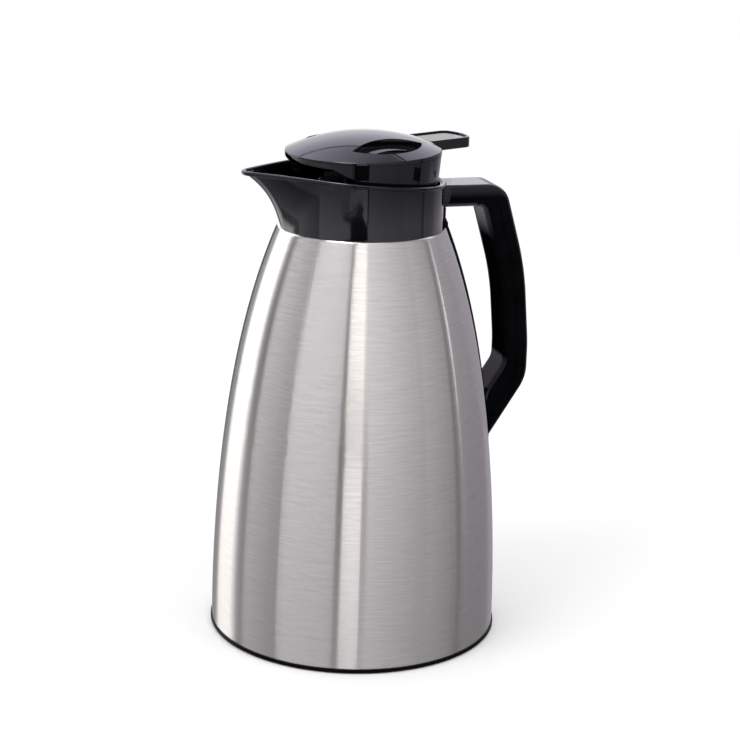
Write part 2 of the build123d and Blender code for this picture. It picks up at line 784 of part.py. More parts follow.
def dome_solid(inset):
    """Ball cap on a short band, lowered and drawn in by inset."""
    ball = Pos(crown_shift, 0, crown_z - dome_ball_r) * Sphere(dome_ball_r - inset)
    return ball & ring(0, dome_r - inset, seam_z, crown_z + dome_wall)


def recess_outline(grow):
    """Lens between two arcs, drawn with its middle on +X."""
    near_arc = Pos(recess_outer - recess_ball_near, 0) * Circle(recess_ball_near + grow)
    far_arc = Pos(recess_inner + recess_ball_far, 0) * Circle(recess_ball_far + grow)
    return near_arc & far_arc


def recess_room(grow, floor_z):
    return Plane.XY.offset(floor_z) * extrude(recess_outline(grow), crown_z + dome_wall - floor_z)


def recess_step(floor_z):
    """Ledge along a recess's inner side, under the dome's skin, its edge bent like that side."""
    edge = Pos(ledge_place + recess_ball_far, 0) * Circle(recess_ball_far)
    return Plane.XY.offset(floor_z) * extrude(recess_outline(0) - edge, crown_z - floor_z)


def lid_screw_places():
    return [(front_screw_x, 0), (rear_screw_x, rear_screw_half), (rear_screw_x, -rear_screw_half)]


def screw_boss(x, y):
    """Boss under the dome; the rear two stand on the lever's root, the front one on the flap plate."""
    low = root_z if x < 0 else root_z + root_thick + face_play
    boss = Pos(x, y, 0) * ring(0, lid_boss_r, low, crown_z)
    hole_top = flap_z + lid_screw_length + boss_end_play
    return boss & dome_solid(dome_wall / 2), Pos(x, y, 0) * ring(0, lid_screw_r + face_play, low, hole_top)


def dome_cover():
    outer = dome_solid(0)
    curved = outer.edges().filter_by(GeomType.LINE, reverse=True)
    upper = curved.filter_by(lambda e: (e @ 0.5).Z > seam_z + near)
    rim = upper.filter_by(lambda e: abs(math.hypot((e @ 0.5).X, (e @ 0.5).Y) - dome_r) < near)
    outer = fillet(rim, dome_edge_round)
    body = outer - dome_solid(dome_wall)
    floor_z = crown_z - recess_drop
    for turn in (-90, 90):
        body += outer & Rot(0, 0, turn) * recess_room(recess_wall, floor_z - recess_wall)
    for turn in (-90, 90):
        body -= Rot(0, 0, turn) * recess_room(0, floor_z)
        body += dome_solid(recess_ledge) & Rot(0, 0, turn) * recess_step(floor_z)
    for x, y in lid_screw_places():
        boss, hole = screw_boss(x, y)
        body += boss
        body -= hole
    return body - block(lever_start - side_play, 2 * dome_r, lever_width / 2 + side_play, 0, 2 * crown_z)


def lever_top(x):
    return lever_tip_z - lever_fall * (lever_reach - x)


def lever_plan(margin):
    """The lever seen from above, tip rounded, drawn in by a margin."""
    middle = (lever_reach + lever_start) / 2 - margin
    plan = Pos(middle, 0) * Rectangle(lever_reach - lever_start, lever_width - 2 * margin)
    plan &= Pos(lever_reach - lever_tip_r, 0) * Circle(lever_tip_r - margin)
    plan = fillet(plan.vertices().group_by(Axis.X)[-1], lever_corner - margin)
    return Pos(0, 0, skirt_top_z - lever_thick) * extrude(plan, 3 * lever_thick)


def lever_layer(drop, thick):
    """Sloping slab under the lever's top face."""
    x0, x1 = lever_start - lever_thick, lever_reach + lever_thick
    top0, top1 = lever_top(x0) - drop, lever_top(x1) - drop
    line = Polyline((x0, top0), (x1, top1), (x1, top1 - thick), (x0, top0 - thick), (x0, top0))
    return side_plate(make_face(line), lever_width)


def thumb_lever():
    """Lever with its hinge barrel, and the root that is screwed between dome and flap plate."""
    bar = lever_plan(0) & lever_layer(0, lever_thick)
    top_edges = bar.faces().sort_by(Axis.Z)[-1].edges()
    bar = fillet(top_edges.filter_by(lambda e: e.center().X > lever_start + near), lever_edge_round)
    bar -= lever_plan(lever_pad_margin) & lever_layer(lever_pad_depth - lever_thick, lever_thick)
    root_half = lever_width / 2 - root_inset
    body = bar + block(root_start, root_end, root_half, root_z, root_z + root_thick)
    body += block(lever_start, root_end, root_half, root_z, lever_top(lever_start) - lever_thick / 2)
    ear_room = rod_y(pivot_x, pivot_z, hinge_r + soft_play, notch_half + ear_thick + side_play)
    body -= ear_room
    body += rod_y(pivot_x, pivot_z, hinge_r, barrel_half)
    neck_top = lever_top(pivot_x) - lever_thick / 2
    body += block(root_end, pivot_x + hinge_r, barrel_half, pivot_z, neck_top)
    for x, y in lid_screw_places():
        body -= Pos(x, y, 0) * ring(0, lid_screw_r + side_play, 0, crown_z)
    body -= rod_y(pivot_x, pivot_z, pin_r + pin_play, barrel_half + side_play)
    return body - rod_y(pivot_x, pivot_z, hinge_r - face_play, spring_half_length() + side_play)


def spring_half_length():
    return spring_turns * spring_pitch / 2 + spring_wire_r


def hinge_pin():
    pin = rod_y(pivot_x, pivot_z, pin_r, notch_half + ear_thick)
    return chamfer(pin.edges(), pin_r / 5)


def hinge_spring():
    """Closing spring wound round the pin, in the gap at the middle of the barrel."""
    length = spring_pitch * spring_turns
    path = Helix(spring_pitch, length, pin_r + spring_play + spring_wire_r)
    coil = sweep(Plane(path @ 0, z_dir=path % 0) * Circle(spring_wire_r), path=path, is_frenet=True)
    return Pos(pivot_x, length / 2, pivot_z) * Rot(90, 0, 0) * coil


def flap_plate():
    """Round plate that closes the cover from below and carries the valve's stem."""
    plate_r = skirt_radius(flap_z) - skirt_wall - flap_play
    body = ring(0, plate_r, flap_z, flap_top_z)
    outer_rib = plate_r - flap_rib_inset
    ribs = ring(outer_rib - flap_rib, outer_rib, flap_z - flap_rib, flap_z)
    middle_rib = (outer_rib + stem_r) / 2
    ribs += ring(middle_rib - flap_rib, middle_rib, flap_z - flap_rib, flap_z)
    body += ribs
    body -= block(pivot_x - flap_back, 2 * dome_r, 2 * dome_r, 0, crown_z)
    body += ring(lid_screw_r + face_play, stem_r - stem_wall - face_play, valve_top_z + face_play, flap_z)
    for x, y in lid_screw_places():
        body -= Pos(x, y, 0) * ring(0, lid_screw_r + side_play, 0, crown_z)
        body -= Pos(x, y, 0) * ring(0, lid_screw_head_r + soft_play, 0, flap_z)
    return body


def valve_disc():
    """Stem and disc that press the gasket on its seat, with fins between them."""
    seat_r = seat_bore_r + seat_width
    body = turned(Polyline(
        (0, valve_z), (seat_r + valve_over, valve_z), (seat_r + valve_over, valve_top_z),
        (stem_r, valve_top_z), (stem_r, flap_z - face_play), (stem_r - stem_wall, flap_z - face_play),
        (stem_r - stem_wall, valve_top_z), (0, valve_top_z), (0, valve_z),
    ))
    fin = block(stem_r - stem_wall / 2, seat_r - fin_inset, fin_thick / 2, valve_z, valve_top_z + fin_height)
    for step in range(fin_count):
        body += Rot(0, 0, 360 * (step + 0.5) / fin_count) * fin
    return body - ring(0, lid_screw_r + side_play, 0, valve_top_z)


def valve_gasket():
    return ring(lid_screw_head_r + soft_play, seat_bore_r + seat_width + gasket_over, gasket_z, valve_z)


def small_screw(length):
    """Screw pointing up, with the seat of its head at the origin."""
    head = ring(0, lid_screw_head_r, -lid_screw_head_h, 0)
    head = fillet(head.edges().group_by(Axis.Z)[0], lid_screw_head_h / 3)
    slot = Pos(0, 0, -lid_screw_head_h) * Box(lid_screw_head_h / 2, 1.3 * lid_screw_head_r, lid_screw_head_h)
    return head + ring(0, lid_screw_r, 0, length) - slot - Rot(0, 0, 90) * slot


def valve_screw():
    return Pos(0, 0, valve_z) * small_screw(valve_screw_length)


def lid_screws():
    return [Pos(x, y, flap_z) * small_screw(lid_screw_length) for x, y in lid_screw_places()]


# ---------------------------------------------------------------- export

jug_parts = {
    "outer_casing": outer_casing,
    "inner_vessel": inner_vessel,
    "casing_bottom": casing_bottom,
    "getter": getter,
    "base_cover": base_cover,
    "base_pad": base_pad,
    "pouring_collar": pouring_collar,
    "collar_seal": collar_seal,
    "neck_ring": neck_ring,
    "handle_shell": handle_shell,
    "handle_insert": handle_insert,
    "handle_strap": handle_strap,
    "handle_bracket": handle_bracket,
    "handle_screws": handle_screws,
    "screw_plug": screw_plug,
}

lid_parts = {
    "lid_insert": lid_insert,
    "stopper_barrel": stopper_barrel,
    "lip_seal": lip_seal,
    "hinge_pin": hinge_pin,
    "hinge_spring": hinge_spring,
    "dome_cover": dome_cover,
    "thumb_lever": thumb_lever,
    "flap_plate": flap_plate,
    "valve_disc": valve_disc,
    "valve_gasket": valve_gasket,
    "valve_screw": valve_screw,
    "lid_screws": lid_screws,
}


def write(name, made, turn):
    """Write one sub-part's solids, turned about the jug's axis."""
    pieces = made if isinstance(made, list) else [made]
    solids = [Rot(0, 0, turn) * solid for piece in pieces for solid in piece.solids()]
    shape = Compound(children=solids)
    shape.label = name
    export_step(shape, f"parts/{name}.step")
    print(name, len(solids), round(shape.volume, 1))


for name, make in jug_parts.items():
    write(name, make(), 0)

for name, make in lid_parts.items():
    write(name, make(), lid_turn)
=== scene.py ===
import bmesh
import bpy
import json
import math
from mathutils import Matrix, Vector

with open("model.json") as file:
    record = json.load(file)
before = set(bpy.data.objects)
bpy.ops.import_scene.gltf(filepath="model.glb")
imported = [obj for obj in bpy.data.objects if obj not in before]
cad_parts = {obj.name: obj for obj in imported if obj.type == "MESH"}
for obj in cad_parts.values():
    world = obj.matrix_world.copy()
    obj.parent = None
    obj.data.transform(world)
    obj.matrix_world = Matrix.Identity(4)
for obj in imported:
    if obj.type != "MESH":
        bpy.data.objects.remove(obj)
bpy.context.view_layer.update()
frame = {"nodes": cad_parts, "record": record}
nodes = frame["nodes"]
print("frame loaded:", len(nodes), "nodes")


view = {
    "turn": -17.0,          # degrees about the jug's axis
    "distance": 1.00506,    # metres from the axis
    "height": 0.426515,
    "pitch": 16.08759,      # degrees, looking down
    "yaw": 0.35874,
    "roll": 1.54865,
    "focal": 2028.717,      # in pixels of the square picture
    "picture": 740,
    "near": 0.01,
    "far": 100,
}

turnToView = Matrix.Rotation(math.radians(view["turn"]), 4, "Z")
cameraSide = math.radians(-90 + view["turn"])    # direction from the axis to the camera


def makeCamera():
    data = bpy.data.cameras.new("camera")
    data.sensor_fit = "HORIZONTAL"
    data.angle = 2 * math.atan(view["picture"] / 2 / view["focal"])
    data.clip_start = view["near"]
    data.clip_end = view["far"]
    camera = bpy.data.objects.new("camera", data)
    bpy.context.scene.collection.objects.link(camera)
    place = turnToView @ Matrix.Translation((0, -view["distance"], view["height"]))
    aim = Matrix.Rotation(math.radians(-view["yaw"]), 4, "Z")
    tilt = Matrix.Rotation(math.radians(90 - view["pitch"]), 4, "X")
    roll = Matrix.Rotation(math.radians(view["roll"]), 4, "Z")
    camera.matrix_world = place @ aim @ tilt @ roll
    bpy.context.scene.camera = camera


makeCamera()
print("camera set")


class Wire:
    # a node's output, ready to stand in a sum

    def __init__(self, finish, socket):
        self.finish = finish
        self.socket = socket

    def __add__(self, other):
        return self.finish.maths("ADD", self, other)

    def __radd__(self, other):
        return self.finish.maths("ADD", other, self)

    def __sub__(self, other):
        return self.finish.maths("SUBTRACT", self, other)

    def __rsub__(self, other):
        return self.finish.maths("SUBTRACT", other, self)

    def __mul__(self, other):
        return self.finish.maths("MULTIPLY", self, other)

    def __rmul__(self, other):
        return self.finish.maths("MULTIPLY", other, self)


class Finish:
    # a material and the one way its nodes are made

    def __init__(self, name):
        self.material = bpy.data.materials.new(name)
        self.material.use_nodes = True
        self.tree = self.material.node_tree
        self.tree.nodes.clear()

    def node(self, kind, settings=None, sockets=None, output=0):
        made = self.tree.nodes.new(kind)
        for key, value in (settings or {}).items():
            setattr(made, key, value)
        for key, value in (sockets or {}).items():
            if isinstance(value, Wire):
                self.tree.links.new(value.socket, made.inputs[key])
            else:
                made.inputs[key].default_value = value
        return Wire(self, made.outputs[output]) if made.outputs else None

    def maths(self, operation, first, second=0.0):
        return self.node("ShaderNodeMath", {"operation": operation}, {0: first, 1: second})

    def where(self):
        return self.node("ShaderNodeTexCoord", output="Object")

    def axes(self, vector):
        split = self.node("ShaderNodeSeparateXYZ", None, {0: vector}).socket.node
        return [Wire(self, socket) for socket in split.outputs]

    def outward(self, x, y):
        # distance from the jug's axis
        return self.maths("SQRT", x * x + y * y)

    def angle(self, across, along):
        return self.maths("ARCTAN2", across, along) * (180 / math.pi)

    def noise(self, lumps, detail, roughness):
        # lumps per metre along each axis
        vector = self.node("ShaderNodeVectorMath", {"operation": "MULTIPLY"}, {0: self.where(), 1: lumps})
        sockets = {"Vector": vector, "Scale": 1.0, "Detail": detail, "Roughness": roughness}
        return self.node("ShaderNodeTexNoise", None, sockets)

    def remap(self, value, low, high, least, most):
        sockets = {0: value, 1: low, 2: high, 3: least, 4: most}
        return self.node("ShaderNodeMapRange", {"clamp": True}, sockets)

    def spread(self, noise, least, most):
        # a noise lies mostly between 0.3 and 0.7
        return self.remap(noise, 0.3, 0.7, least, most)

    def smooth(self, value, low, high):
        # 0 at low and 1 at high, which may be the smaller one
        settings = {"clamp": True, "interpolation_type": "SMOOTHSTEP"}
        return self.node("ShaderNodeMapRange", settings, {0: value, 1: low, 2: high})

    def between(self, value, start, full, fading, end):
        return self.smooth(value, start, full) * self.smooth(value, end, fading)

    def mix(self, share, first, second):
        return self.node("ShaderNodeMix", {"data_type": "RGBA"}, {0: share, 6: first, 7: second}, 2)

    def bump(self, height, strength, depth):
        sockets = {"Strength": strength, "Distance": depth, "Height": height}
        return self.node("ShaderNodeBump", None, sockets)

    def glow(self, colour, level):
        # the level is in the colour, so that the strength stays plain
        lit = self.node("ShaderNodeVectorMath", {"operation": "SCALE"}, {0: colour, "Scale": level})
        return self.node("ShaderNodeEmission", None, {"Color": lit, "Strength": 1.0})

    def surface(self, sockets):
        return self.close(self.node("ShaderNodeBsdfPrincipled", None, sockets))

    def close(self, shader):
        self.node("ShaderNodeOutputMaterial", None, {"Surface": shader})
        return self.material


# in the finishes, a noise is its lumps per metre along each axis, its detail and its roughness,
# and a bump is its strength and its depth in metres

steel = {
    "colour": (0.795, 0.785, 0.78, 1),
    "worn": (0.715, 0.705, 0.70, 1),
    "fine": ((85.0, 85.0, 1900.0), 2.0, 0.5),    # brush lines, drawn out round the body
    "broad": ((85.0 / 3, 85.0 / 3, 475.0), 2.0, 0.5),
    "broadShare": 0.05,    # of the broad lines in the grain
    "patch": ((9.0, 9.0, 14.0), 2.0, 0.5),
    "patchShare": 0.3,     # of the patches in the roughness
    "roughness": (0.18, 0.215),
    "anisotropy": 0.95,
    "brushTurn": 0.25,     # share of a turn that lays the blur up and down the body
    "bump": (0.012, 0.0002),
}


def brushedSteel():
    finish = Finish("brushedSteel")
    fine = finish.noise(*steel["fine"])
    broad = finish.noise(*steel["broad"])
    patch = finish.noise(*steel["patch"])
    grain = (1 - steel["broadShare"]) * fine + steel["broadShare"] * broad
    polish = grain * (1 - steel["patchShare"]) + patch * steel["patchShare"]
    return finish.surface({
        "Base Color": finish.mix(finish.spread(grain, 0.0, 1.0), steel["colour"], steel["worn"]),
        "Metallic": 1.0,
        "Roughness": finish.spread(polish, *steel["roughness"]),
        "Anisotropic": steel["anisotropy"],
        "Anisotropic Rotation": steel["brushTurn"],
        "Normal": finish.bump(grain, *steel["bump"]),
    })


flask = {
    "colour": (0.72, 0.72, 0.72, 1),
    "worn": (0.66, 0.655, 0.65, 1),
    "lines": ((18.0, 18.0, 1500.0), 2.0, 0.5),
    "cloud": ((30.0, 30.0, 30.0), 3.0, 0.5),
    "roughness": (0.12, 0.24),
    "bump": (0.04, 0.0002),
}


def drawnSteel():
    finish = Finish("drawnSteel")
    lines = finish.noise(*flask["lines"])
    cloud = finish.noise(*flask["cloud"])
    return finish.surface({
        "Base Color": finish.mix(cloud, flask["colour"], flask["worn"]),
        "Metallic": 1.0,
        "Roughness": finish.spread(lines, *flask["roughness"]),
        "Normal": finish.bump(lines, *flask["bump"]),
    })


gloss = {
    "colour": (0.0015, 0.0015, 0.002, 1),
    "dust": (0.004, 0.004, 0.005, 1),
    "dustFrom": (0.35, 0.75),        # values of the haze
    "tint": (0.86, 0.87, 1.0, 1),    # of its reflections
    "haze": ((45.0, 45.0, 45.0), 4.0, 0.6),
    "peel": ((420.0, 420.0, 420.0), 1.0, 0.4),
    "roughness": (0.04, 0.08),
    "ior": 1.52,
    "polish": 0.5,    # the plastic's own shine
    "collarPolish": 0.44,
    "collarCoat": (0.236, 0.219),    # heights where the collar's clear coat starts and is full
    "coat": (0.8, 1.0),
    "coatRoughness": 0.05,
    "bump": (0.015, 0.0004),
}


def blackGloss(name, polish, coatFade=None):
    finish = Finish(name)
    haze = finish.noise(*gloss["haze"])
    peel = finish.noise(*gloss["peel"])
    dusty = finish.remap(haze, *gloss["dustFrom"], 0.0, 1.0)
    sockets = {
        "Base Color": finish.mix(dusty, gloss["colour"], gloss["dust"]),
        "Roughness": finish.spread(haze, *gloss["roughness"]),
        "IOR": gloss["ior"],
        "Specular IOR Level": polish,
        "Specular Tint": gloss["tint"],
        "Normal": finish.bump(peel, *gloss["bump"]),
    }
    if coatFade:
        height = finish.axes(finish.where())[2]
        coated = finish.remap(height, *coatFade, 0.0, 1.0)
        sockets["Coat Weight"] = coated * finish.spread(haze, *gloss["coat"])
        sockets["Coat Roughness"] = gloss["coatRoughness"]
    return finish.surface(sockets)


satin = {
    "plain": ((0.014, 0.014, 0.016, 1), (0.026, 0.026, 0.028, 1)),    # clean, and dusty
    # painted shade: a darker copy of the same satin, clean and dusty, for the strap and the base where
    # the jug shades them
    "paintedShade": ((0.0015, 0.0015, 0.002, 1), (0.003, 0.003, 0.0035, 1)),
    "polish": 0.5,
    # the strap and the base also shine less, which takes their reflections away as part of the painted
    # shade
    "strapPolish": 0.06,
    "basePolish": 0.04,
    "grain": ((1600.0, 1600.0, 1600.0), 2.0, 0.6),
    "haze": ((60.0, 60.0, 60.0), 3.0, 0.6),
    "roughness": (0.34, 0.46),
    "bump": (0.12, 0.0002),
}


def blackSatin(name, colours, polish):
    finish = Finish(name)
    grain = finish.noise(*satin["grain"])
    haze = finish.noise(*satin["haze"])
    return finish.surface({
        "Base Color": finish.mix(haze, *colours),
        "Roughness": finish.spread(haze, *satin["roughness"]),
        "Specular IOR Level": polish,
        "Normal": finish.bump(grain, *satin["bump"]),
    })


rubber = {
    "colour": (0.035, 0.035, 0.036, 1),
    "worn": (0.06, 0.06, 0.062, 1),
    "grain": ((900.0, 900.0, 900.0), 3.0, 0.7),
    "roughness": (0.7, 0.9),
    "bump": (0.3, 0.0003),
}


def padRubber():
    finish = Finish("padRubber")
    grain = finish.noise(*rubber["grain"])
    return finish.surface({
        "Base Color": finish.mix(grain, rubber["colour"], rubber["worn"]),
        "Roughness": finish.spread(grain, *rubber["roughness"]),
        "Normal": finish.bump(grain, *rubber["bump"]),
    })


silicone = {
    "dark": (0.55, 0.54, 0.51, 1),
    "pale": (0.66, 0.65, 0.62, 1),
    "cloud": ((120.0, 120.0, 120.0), 3.0, 0.6),
    "roughness": (0.38, 0.52),
    "depth": 0.15,    # how much light passes under its skin
    "bump": (0.05, 0.0004),
}


def softSilicone():
    finish = Finish("softSilicone")
    cloud = finish.noise(*silicone["cloud"])
    return finish.surface({
        "Base Color": finish.mix(cloud, silicone["dark"], silicone["pale"]),
        "Roughness": finish.spread(cloud, *silicone["roughness"]),
        "Subsurface Weight": silicone["depth"],
        "Normal": finish.bump(cloud, *silicone["bump"]),
    })


zinc = {
    "dark": (0.55, 0.56, 0.58, 1),
    "pale": (0.70, 0.70, 0.69, 1),
    "spangle": ((500.0, 500.0, 500.0), 3.0, 0.6),
    "roughness": (0.22, 0.36),
    "bump": (0.06, 0.0002),
}


def zincSteel():
    finish = Finish("zincSteel")
    spangle = finish.noise(*zinc["spangle"])
    return finish.surface({
        "Base Color": finish.mix(spangle, zinc["dark"], zinc["pale"]),
        "Metallic": 1.0,
        "Roughness": finish.spread(spangle, *zinc["roughness"]),
        "Normal": finish.bump(spangle, *zinc["bump"]),
    })


finishes = {
    "brushed_steel": brushedSteel(),
    "flask_steel": drawnSteel(),
    "black_gloss": blackGloss("blackGloss", gloss["polish"]),
    "black_satin": blackSatin("blackSatin", satin["plain"], satin["polish"]),
    "pad_rubber": padRubber(),
    "silicone": softSilicone(),
    "zinc_steel": zincSteel(),
}

# pieces that differ from the others of their material; the strap and the base take a darker satin with
# less shine, which is painted shade
ownFinishes = {
    "pouring_collar": blackGloss("collarGloss", gloss["collarPolish"], gloss["collarCoat"]),
    "handle_strap": blackSatin("strapPaintedShade", satin["paintedShade"], satin["strapPolish"]),
    "base_cover": blackSatin("basePaintedShade", satin["paintedShade"], satin["basePolish"]),
}


def dressNodes():
    for entry in frame["record"]["subparts"]:
        mesh = nodes[entry["node"]].data
        mesh.materials.clear()
        mesh.materials.append(ownFinishes.get(entry["node"], finishes[entry["material_slot"]]))


dressNodes()
print("finishes set")


def glossyOnly(piece):
    piece.visible_camera = False
    piece.visible_diffuse = False
    piece.visible_transmission = False
    piece.visible_shadow = False
    piece.visible_volume_scatter = False


def stagePiece(name, shape, material):
    mesh = bpy.data.meshes.new(name)
    shape.to_mesh(mesh)
    shape.free()
    mesh.materials.append(material)
    piece = bpy.data.objects.new(name, mesh)
    bpy.context.scene.collection.objects.link(piece)
    return piece


# the tent is a ball of cards and gaps round the jug that only reflections see. On it, turn is
# degrees from the camera's side, positive to the camera's right, and rise is degrees up. Edges are
# given as where something starts, is full, begins to fade and ends, and a fade as two rises and
# the values there.
tent = {
    "radius": 5.0,
    "splits": 5,            # how finely the ball is divided
    "lean": 0.1,            # degrees of turn that the cards lean per degree of rise
    "gapBright": 0.365,     # brightness between the cards
    "footFade": (-24.0, 6.0, 0.62, 1.0),    # share of all brightness that is left towards the floor
}

# cards: where each starts and ends, how soft its edges are, and its brightness at both ends
tentCards = [
    (-185, -150, 6, 0.50, 0.40),
    (-140, -109, 5, 1.85, 1.85),
    (-96, -61, 2, 0.72, 0.44),
    (-60, -14.5, 1.5, 0.87, 0.72),
    (-14, -8.5, 1.2, 0.14, 0.14),
    (-7.5, 6.5, 1.2, 1.35, 1.45),
    (7, 61, 2, 0.84, 0.52),
    (61, 91, 1, 0.56, 0.40),
    (93.5, 98, 1.5, 0.20, 0.20),
    (99, 102, 1, 0.46, 0.42),
    (146, 185, 5, 0.50, 0.56),
]

# shades over them: where each starts and ends, how soft its edges are, the share that it takes, and
# the rises where it begins and is full
tentShades = [
    (-195, -156, 2, 0.8, -20, -12),
    (-108, -98.5, 1.5, 0.55, -10, 3),
]

# the brightest card in front, and the gaps beside it
frontCard = {
    "bright": 1.4,
    "opening": (-8.0, 20.0, 0.0, 3.2),     # degrees by which it widens to the left as it rises
    "openLeft": (-8.7, -6.3),              # start and full
    "openRight": (-5.0, -7.0),
    "seam": (7.6, 8.2, 10.2, 10.8),        # dark seam on its right
    "seamRise": (1.0, -5.0),               # where it ends upwards, and where it is full
    "seamShare": (-14.0, -9.0, 0.32, 0.8),
    "slit": (-16.0, -14.0, -8.5, -7.0),    # dark slit on its left, paler towards the floor
    "slitLight": (-16.0, -8.0, 0.3, 0.0),
    "glare": (-8.0, -6.0, 6.0, 7.5),       # the card itself, dimmer towards the floor
    "glareShare": (-24.0, -12.0, 0.28, 0.0),
}

# bright line between two cards on the right
brightLine = {
    "turn": (99.3, 100.1, 101.1, 101.9),
    "rise": (-6.0, 5.0, 8.0, 17.0),
    "bright": 1.9,
}

# pale wall behind the jug, with a dark gap under its top and light over it
backWall = {
    "bright": 1.6,
    "behind": (1.5, 2.5),       # metres behind the axis over which it begins
    "foot": (8.0, 13.0),        # rises over which it begins
    "lift": 16,                 # degrees by which its foot is higher beside the handle
    "liftTurn": (90.0, 100.0, 135.0, 150.0),
    "top": 45.0,                # rise of its top straight behind
    "slant": 0.38,              # degrees the top falls per degree of turn, from right to left
    "gap": (-2.2, -1.6, -1.0, -0.4),    # in degrees from the top
    "overFrom": (-1.0, 1.0),            # the same, for the light over it
    "over": (-12.0, 24.0, 0.6, 1.9),    # two turns from straight behind, and that light there
    "roof": (60.0, 75.0),       # rises over which that light closes all round
}

# narrow lamp high up, for the edges: its turns, its rises, and two turns and its brightness there
edgeLamp = {
    "turn": (-122.0, -117.0, 70.0, 90.0),
    "rise": (66.0, 69.0, 81.0, 84.0),
    "bright": (-60.0, -40.0, 14.0, 0.8),
}

tints = {
    "plain": (1.0, 0.965, 0.985, 1),
    "warm": (1.0, 0.955, 0.92, 1),      # of the brightest cards
    "warmFrom": (1.0, 1.3),             # brightness
    "rosy": (1.0, 0.94, 0.99, 1),       # of the cards beside the handle
    "rosyFrom": (95.0, 103.0),          # degrees of turn
    "lilac": (0.985, 0.925, 1.0, 1),    # farther round
    "lilacFrom": (110.0, 135.0),
    "cool": (0.90, 0.885, 1.0, 1),      # of the back wall
}


def cardLight(finish, turn, rise):
    level = tent["gapBright"]
    for first, last, soft, dim, bright in tentCards:
        inside = finish.between(turn, first - soft, first + soft, last - soft, last + soft)
        level = level + inside * (finish.remap(turn, first, last, dim, bright) - level)
    level = frontLight(finish, level, turn, rise)
    for first, last, soft, share, faint, full in tentShades:
        inside = finish.between(turn, first - soft, first + soft, last - soft, last + soft)
        level = level * (1 - inside * finish.remap(rise, faint, full, 0.0, share))
    line = finish.between(turn, *brightLine["turn"]) * finish.between(rise, *brightLine["rise"])
    return level * finish.remap(rise, *tent["footFade"]) + line * brightLine["bright"]


def frontLight(finish, level, turn, rise):
    widened = turn + finish.remap(rise, *frontCard["opening"])
    inside = finish.smooth(widened, *frontCard["openLeft"]) * finish.smooth(turn, *frontCard["openRight"])
    level = level + inside * (frontCard["bright"] - level)
    seam = finish.between(turn, *frontCard["seam"]) * finish.smooth(rise, *frontCard["seamRise"])
    level = level * (1 - seam * finish.remap(rise, *frontCard["seamShare"]))
    slit = finish.between(turn, *frontCard["slit"])
    level = level + slit * finish.remap(rise, *frontCard["slitLight"])
    glare = finish.between(turn, *frontCard["glare"])
    return level * (1 - glare * finish.remap(rise, *frontCard["glareShare"]))


def tentTint(finish, level, turn, wall):
    colour = finish.mix(finish.smooth(level, *tints["warmFrom"]), tints["plain"], tints["warm"])
    beside = finish.mix(finish.smooth(turn, *tints["lilacFrom"]), tints["rosy"], tints["lilac"])
    colour = finish.mix(finish.smooth(turn, *tints["rosyFrom"]), colour, beside)
    return finish.mix(wall, colour, tints["cool"])


def tentFinish():
    finish = Finish("tent")
    x, y, z = finish.axes(finish.where())
    side = y * math.cos(cameraSide) - x * math.sin(cameraSide)
    ahead = x * math.cos(cameraSide) + y * math.sin(cameraSide)
    turn = finish.angle(side, ahead)
    rise = finish.angle(z, finish.outward(x, y))
    level = cardLight(finish, turn - rise * tent["lean"], rise)

    behind = finish.smooth(ahead * -1, *backWall["behind"])
    lifted = finish.between(turn, *backWall["liftTurn"]) * backWall["lift"]
    wall = finish.smooth(rise - lifted, *backWall["foot"]) * behind
    colour = tentTint(finish, level, turn, wall)
    level = level + wall * (backWall["bright"] - level)

    fromBack = finish.node("ShaderNodeMath", {"operation": "WRAP"}, {0: turn, 1: 360, 2: 0}) - 180
    overTop = rise - (backWall["top"] - fromBack * backWall["slant"])
    past = behind * finish.smooth(overTop, *backWall["overFrom"]) + finish.smooth(rise, *backWall["roof"])
    over = finish.remap(fromBack, *backWall["over"])
    level = level + finish.maths("MINIMUM", past, 1.0) * (over - level)
    level = level * (1 - behind * finish.between(overTop, *backWall["gap"]))

    lamp = finish.between(rise, *edgeLamp["rise"]) * finish.between(turn, *edgeLamp["turn"])
    level = level + lamp * finish.remap(turn, *edgeLamp["bright"])
    return finish.close(finish.glow(colour, level))


def makeTent():
    shape = bmesh.new()
    bmesh.ops.create_icosphere(shape, subdivisions=tent["splits"], radius=tent["radius"])
    ball = stagePiece("tent", shape, tentFinish())
    ball.data.materials[0].cycles.emission_sampling = "NONE"
    glossyOnly(ball)


def placeFlag(name, faces, material):
    shape = bmesh.new()
    for corners in faces:
        shape.faces.new([shape.verts.new(corner) for corner in corners])
    glossyOnly(stagePiece(name, shape, material))


# small cards and dark flags round the jug, seen in reflections only: each has its brightness, and
# its corners in metres as sideways, towards the camera and height
flags = {
    "collarFlag": (0.0, [
        (-0.11, 0.45, 0.112), (0.065, 0.45, 0.112), (0.06, 0.45, 0.131), (0.02, 0.45, 0.1425),
        (0.005, 0.45, 0.147), (-0.02, 0.45, 0.148), (-0.24, 0.45, 0.1325), (-0.10, 0.45, 0.1295)]),
    "collarCard": (0.95, [
        (-0.13, 0.46, 0.128), (0.06, 0.46, 0.128), (0.06, 0.46, 0.158), (-0.13, 0.46, 0.158)]),
    "skirtFlag": (0.0, [
        (-0.0075, 0.055, 0.2362), (0.006, 0.055, 0.2362), (0.006, 0.055, 0.2455),
        (-0.0075, 0.055, 0.2455)]),
    "domeCard": (1.3, [
        (-0.085, -0.12, 0.205), (0.05, -0.12, 0.205), (0.05, -0.12, 0.29), (-0.085, -0.12, 0.29)]),
    "skirtSideFlag": (0.0, [
        (0.05, 0.033, 0.2335), (0.05, 0.0237, 0.2335), (0.05, 0.0237, 0.2405), (0.05, 0.033, 0.2405)]),
}

